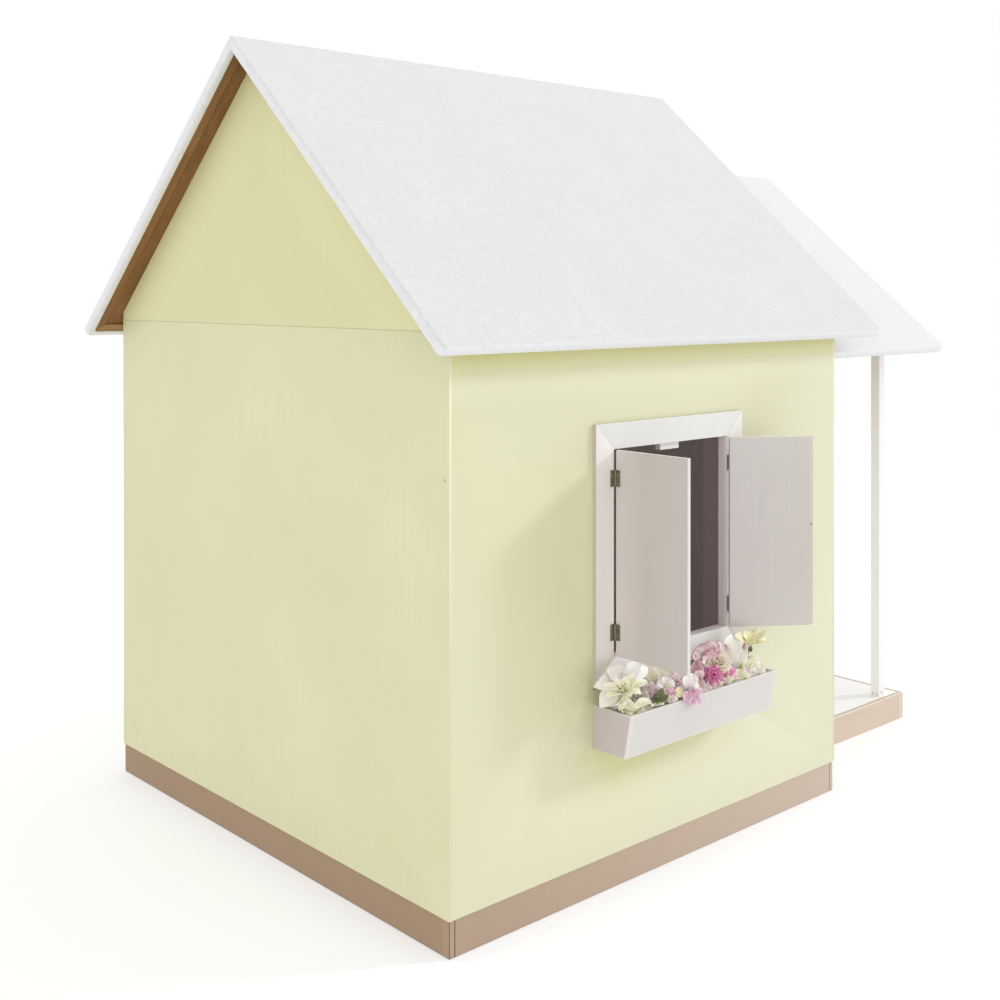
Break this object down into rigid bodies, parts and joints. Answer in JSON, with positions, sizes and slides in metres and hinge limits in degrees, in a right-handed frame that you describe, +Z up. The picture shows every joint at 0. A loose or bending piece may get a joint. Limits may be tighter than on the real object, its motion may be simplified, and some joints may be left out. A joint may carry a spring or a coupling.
{
  "type": "playhouse",
  "caption": "Child-size gabled garden playhouse of painted boards, with a felt-covered roof, a porch on posts, a hinged door, and a shuttered side window over a box of flowers.",
  "frame": {"origin": "on the ground, at the centre of the house's rectangular footprint without the porch", "axes": "+Z up; -Y is the front, with the door and porch; -X is the side with the window and shutters; +Y is the plain back; +X is the plain side"},
  "size_m": [1.7526, 2.182, 2.0075],
  "materials": {
    "wall_paint": "smooth satin paint, pale yellow",
    "white_paint": "smooth satin paint, off-white",
    "shutter_paint": "smooth satin paint, warm white",
    "skirting_paint": "satin paint, taupe",
    "roof_wood": "bare brown wood, matt",
    "frame_wood": "bare sawn softwood",
    "roof_felt": "soft fuzzy felt, white",
    "hinge_metal": "antique, dull",
    "dark_steel": "dark, dull",
    "floral_foam": "porous, matt",
    "petals": "matt artificial petals and leaves"
  },
  "bodies": {
    "house": {"base_end_boards": "skirting_paint", "base_side_boards": "skirting_paint", "floor_joists": "frame_wood", "floor_panel": "frame_wood", "back_wall_panel": "wall_paint", "back_gable_panel": "wall_paint", "front_wall_panel": "wall_paint", "front_gable_panel": "wall_paint", "window_wall_panel": "wall_paint", "plain_wall_panel": "wall_paint", "corner_battens": "frame_wood", "wall_plates": "frame_wood", "gable_seam_battens": "frame_wood", "ridge_beams": "frame_wood", "roof_cleats": "frame_wood", "main_roof_panels": "roof_wood", "main_rake_strips": "roof_wood", "main_eave_strips": "roof_wood", "main_roof_covers": "roof_felt", "deck_front_board": "skirting_paint", "deck_side_boards": "skirting_paint", "deck_joists": "frame_wood", "deck_top": "white_paint", "porch_posts": "white_paint", "porch_header": "white_paint", "porch_side_plates": "white_paint", "porch_gable_panel": "wall_paint", "porch_roof_panels": "roof_wood", "porch_rake_strips": "roof_wood", "porch_eave_strips": "roof_wood", "porch_roof_covers": "roof_felt", "window_trim_head": "white_paint", "window_trim_sill": "white_paint", "window_trim_stiles": "white_paint", "catch_blocks": "white_paint", "door_trim_head": "white_paint", "door_trim_jambs": "white_paint", "door_threshold": "white_paint", "hinge_frame_leaves": "hinge_metal", "hinge_pins": "hinge_metal", "hinge_frame_screws": "hinge_metal", "panel_screws": "dark_steel", "flower_box_front": "white_paint", "flower_box_back": "white_paint", "flower_box_bottom": "white_paint", "flower_box_ends": "white_paint", "flower_foam": "floral_foam", "flowers": "petals"},
    "left_shutter": {"left_shutter": "shutter_paint", "left_shutter_hinge_leaves": "hinge_metal", "left_shutter_screws": "hinge_metal"},
    "right_shutter": {"right_shutter": "shutter_paint", "right_shutter_strip": "shutter_paint", "right_shutter_pull": "dark_steel", "right_shutter_hinge_leaves": "hinge_metal", "right_shutter_screws": "hinge_metal"},
    "door": {"door": "white_paint", "door_pulls": "hinge_metal", "door_hinge_leaves": "hinge_metal", "door_screws": "hinge_metal"}
  },
  "joints": [
    {"name": "left_shutter_hinge", "type": "hinge", "parent": "house", "child": "left_shutter", "pos_m": [-0.738, 0.2095, 0.78], "axis": [0, 0, -1], "range_deg": [-89, 81]},
    {"name": "right_shutter_hinge", "type": "hinge", "parent": "house", "child": "right_shutter", "pos_m": [-0.738, -0.2095, 0.78], "axis": [0, 0, 1], "range_deg": [-144, 26]},
    {"name": "door_hinge", "type": "hinge", "parent": "house", "child": "door", "pos_m": [-0.2795, -0.713, 0.625], "axis": [0, 0, -1], "range_deg": [0, 165]}
  ]
}
